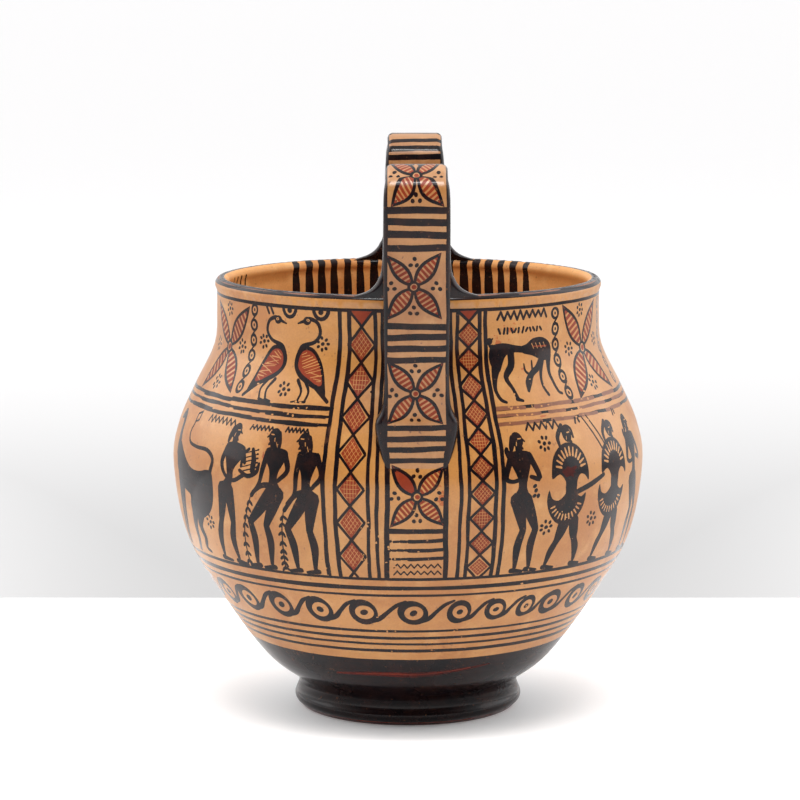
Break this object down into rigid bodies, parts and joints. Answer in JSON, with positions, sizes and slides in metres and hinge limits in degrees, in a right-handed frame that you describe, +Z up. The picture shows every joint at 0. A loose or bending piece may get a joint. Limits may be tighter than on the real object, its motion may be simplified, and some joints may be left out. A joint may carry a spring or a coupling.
{
  "type": "greek krater",
  "caption": "Hollow wide-bellied fired-clay bowl on a ring foot, with a rolled lip and two high strap handles, for holding and mixing drink.",
  "frame": {"origin": "centre of the ring foot's resting face, at the base of the vessel", "axes": "+Z up along the bowl's turning axis; the two handles stand at the front (-Y) and the back (+Y)"},
  "size_m": [0.2812, 0.2942, 0.337],
  "materials": {
    "painted_clay": "semi-gloss fired clay with black and red painted slip"
  },
  "bodies": {
    "root": {"krater": "painted_clay"}
  },
  "joints": []
}
